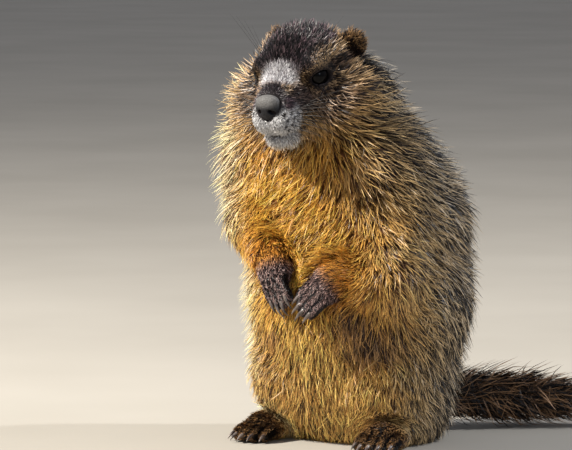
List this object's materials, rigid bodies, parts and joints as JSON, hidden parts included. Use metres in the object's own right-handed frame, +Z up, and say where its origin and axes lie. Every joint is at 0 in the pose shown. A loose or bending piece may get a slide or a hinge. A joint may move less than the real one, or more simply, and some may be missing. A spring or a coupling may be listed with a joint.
{
  "type": "yellow-bellied marmot",
  "caption": "Life-size still model of a young yellow-bellied marmot sitting up on its haunches, forepaws held together on its belly.",
  "frame": {"origin": "on the floor, on the flat under the rump, in the middle of the body", "axes": "+Z up, the animal faces -Y, +X towards its left side"},
  "size_m": [0.2158, 0.2879, 0.2964],
  "materials": {
    "body_coat": "long grizzled coat, dark brown under buff tips, ochre belly",
    "neck_coat": "long grizzled ruff, orange on the throat",
    "face_coat": "short dense fur, dark crown, white band before the eyes, pale muzzle",
    "arm_coat": "rust orange fur, darker towards the wrist",
    "tail_coat": "long dark brown bushy hair with rusty strands and pale tips",
    "paw": "short dark fur over dark skin",
    "nose_pad": "slate grey, finely pebbled, slightly moist",
    "eye": "wet, very dark brown",
    "claw": "smooth dark horn"
  },
  "bodies": {
    "root": {"torso": "body_coat", "neck": "neck_coat", "head": "face_coat", "nose": "nose_pad", "ear_left": "face_coat", "ear_right": "face_coat", "eye_left": "eye", "eye_right": "eye", "arm_left": "arm_coat", "arm_right": "arm_coat", "hand_left": "paw", "hand_right": "paw", "haunch_left": "body_coat", "haunch_right": "body_coat", "foot_left": "paw", "foot_right": "paw", "tail_base": "tail_coat", "tail_tip": "tail_coat", "claw_hand_left_1": "claw", "claw_hand_left_2": "claw", "claw_hand_left_3": "claw", "claw_hand_left_4": "claw", "claw_hand_right_1": "claw", "claw_hand_right_2": "claw", "claw_hand_right_3": "claw", "claw_hand_right_4": "claw", "claw_foot_left_1": "claw", "claw_foot_left_2": "claw", "claw_foot_left_3": "claw", "claw_foot_left_4": "claw", "claw_foot_left_5": "claw", "claw_foot_right_1": "claw", "claw_foot_right_2": "claw", "claw_foot_right_3": "claw", "claw_foot_right_4": "claw", "claw_foot_right_5": "claw"}
  },
  "joints": []
}
